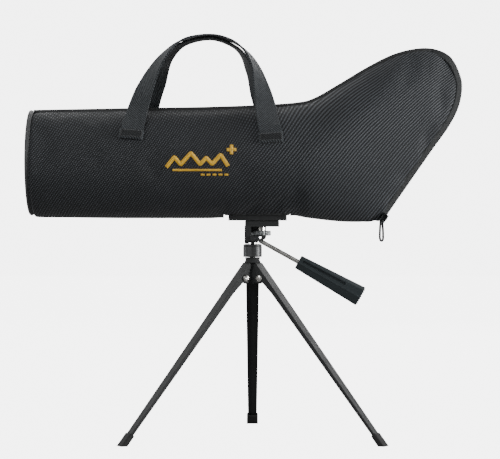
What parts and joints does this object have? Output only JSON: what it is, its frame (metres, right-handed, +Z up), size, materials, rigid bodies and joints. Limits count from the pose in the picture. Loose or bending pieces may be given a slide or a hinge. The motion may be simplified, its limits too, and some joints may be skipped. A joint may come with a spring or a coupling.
{
  "type": "spotting scope",
  "caption": "Angled spotting scope zipped in a padded carrying case with webbing handles, on a small table tripod with a tilt head and pan handle.",
  "frame": {"origin": "on the ground, under the centre of the bounding box", "axes": "+X from the objective end to the tail of the case, +Y to the side of the rear leg, +Z up"},
  "size_m": [0.3887, 0.2049, 0.3631],
  "materials": {
    "black_paint": "satin black paint",
    "collar_paint": "semi-gloss dark grey",
    "steel": "satin",
    "bright_steel": "polished",
    "aluminium": "satin",
    "brass": "satin",
    "rubber": "matte",
    "grip_plastic": "fine satin grain",
    "body_plastic": "matte dark green",
    "lens_glass": "coated",
    "case_nylon": "ballistic nylon with fine slanted ribs",
    "webbing": "ribbed webbing",
    "binding": "bound tape",
    "zip_plastic": "coil zip"
  },
  "bodies": {
    "stand": {"hub": "black_paint", "collar": "collar_paint", "leg_screw_left": "bright_steel", "leg_nut_left": "steel", "leg_screw_right": "bright_steel", "leg_nut_right": "steel", "leg_screw_rear": "bright_steel", "leg_nut_rear": "steel"},
    "pan_head": {"pan_body": "black_paint", "pan_bolt": "steel"},
    "handle": {"handle_rod": "bright_steel", "handle_grip": "grip_plastic"},
    "tilt_head": {"tilt_cradle": "black_paint", "tilt_bolt": "black_paint", "tilt_nut": "steel", "platform_pad": "rubber", "mount_foot": "black_paint", "objective_cap": "rubber", "front_barrel": "body_plastic", "objective_cell": "aluminium", "crown_lens": "lens_glass", "flint_lens": "lens_glass", "lens_retaining_ring": "aluminium", "main_tube": "body_plastic", "rear_body": "body_plastic", "prism_cage": "aluminium", "prism_a": "lens_glass", "prism_b": "lens_glass", "eyepiece_seat": "aluminium", "eyepiece_barrel": "black_paint", "field_lens": "lens_glass", "eye_lens": "lens_glass", "case_panel_near": "case_nylon", "case_panel_far": "case_nylon", "end_disc": "case_nylon", "end_piping": "binding", "top_piping": "binding", "opening_binding": "binding", "zipper_chain": "zip_plastic", "strap_near": "webbing", "strap_far": "webbing"},
    "camera_screw": {"camera_screw": "bright_steel", "thumb_wheel": "aluminium"},
    "focus_drive": {"focus_knob": "rubber", "focus_shaft": "steel"},
    "focus_slide": {"focus_carriage": "brass", "focus_lens": "lens_glass"},
    "zoom_grip": {"zoom_ring": "rubber"},
    "zoom_slide": {"zoom_cell": "brass", "zoom_lens": "lens_glass"},
    "eyecup": {"eyecup": "rubber"},
    "zip_slider": {"zipper_slider": "steel"},
    "zip_pull": {"zipper_pull": "steel"},
    "leg_left": {"leg_left": "black_paint", "foot_cap_left": "rubber"},
    "leg_right": {"leg_right": "black_paint", "foot_cap_right": "rubber"},
    "leg_rear": {"leg_rear": "black_paint", "foot_cap_rear": "rubber"}
  },
  "joints": [
    {"name": "leg_left_fold", "type": "hinge", "parent": "stand", "child": "leg_left", "pos_m": [-0.00303, -0.0366, 0.144], "axis": [0.5, -0.866, 0], "range_deg": [0, 38.5]},
    {"name": "leg_right_fold", "type": "hinge", "parent": "stand", "child": "leg_right", "pos_m": [0.01463, -0.0366, 0.144], "axis": [0.5, 0.866, 0], "range_deg": [0, 38.5]},
    {"name": "leg_rear_fold", "type": "hinge", "parent": "stand", "child": "leg_rear", "pos_m": [0.0058, -0.0213, 0.144], "axis": [-1, 0, 0], "range_deg": [0, 38.5]},
    {"name": "pan", "type": "hinge", "parent": "stand", "child": "pan_head", "pos_m": [0.0058, -0.0315, 0.168], "axis": [0, 0, 1], "continuous": true},
    {"name": "handle_twist", "type": "hinge", "parent": "pan_head", "child": "handle", "pos_m": [0.0175, -0.0315, 0.1748], "axis": [0.8746, 0, -0.4848], "range_deg": [0, 180]},
    {"name": "tilt", "type": "hinge", "parent": "pan_head", "child": "tilt_head", "pos_m": [0.0058, -0.0315, 0.1794], "axis": [0, 1, 0], "range_deg": [-20, 15]},
    {"name": "camera_screw_turn", "type": "hinge", "parent": "tilt_head", "child": "camera_screw", "pos_m": [0.0135, -0.0315, 0.185], "axis": [0, 0, 1], "continuous": true},
    {"name": "focus_turn", "type": "hinge", "parent": "tilt_head", "child": "focus_drive", "pos_m": [0.0568, -0.0315, 0.2844], "axis": [1, 0, 0], "range_deg": [-360, 360]},
    {"name": "focus_travel", "type": "slide", "parent": "tilt_head", "child": "focus_slide", "axis": [1, 0, 0], "range_m": [-0.006, 0.006]},
    {"name": "zoom_turn", "type": "hinge", "parent": "tilt_head", "child": "zoom_grip", "pos_m": [0.10272, -0.0315, 0.27192], "axis": [0.7071, 0, 0.7071], "range_deg": [0, 150]},
    {"name": "zoom_travel", "type": "slide", "parent": "tilt_head", "child": "zoom_slide", "axis": [0.7071, 0, 0.7071], "range_m": [0, 0.008]},
    {"name": "eyecup_travel", "type": "slide", "parent": "tilt_head", "child": "eyecup", "axis": [0.7071, 0, 0.7071], "range_m": [0, 0.008]},
    {"name": "zip_travel", "type": "slide", "parent": "tilt_head", "child": "zip_slider", "axis": [0.569, 0, 0.8223], "range_m": [0, 0.065]},
    {"name": "pull_swing", "type": "hinge", "parent": "zip_slider", "child": "zip_pull", "pos_m": [0.1214, -0.03665, 0.19578], "axis": [0, 1, 0], "range_deg": [-35, 35]}
  ],
  "couplings": [
    {"joint": "focus_turn", "follows": "focus_travel", "rad_per_m": 1047.2},
    {"joint": "zoom_turn", "follows": "zoom_travel", "rad_per_m": 327.24}
  ]
}
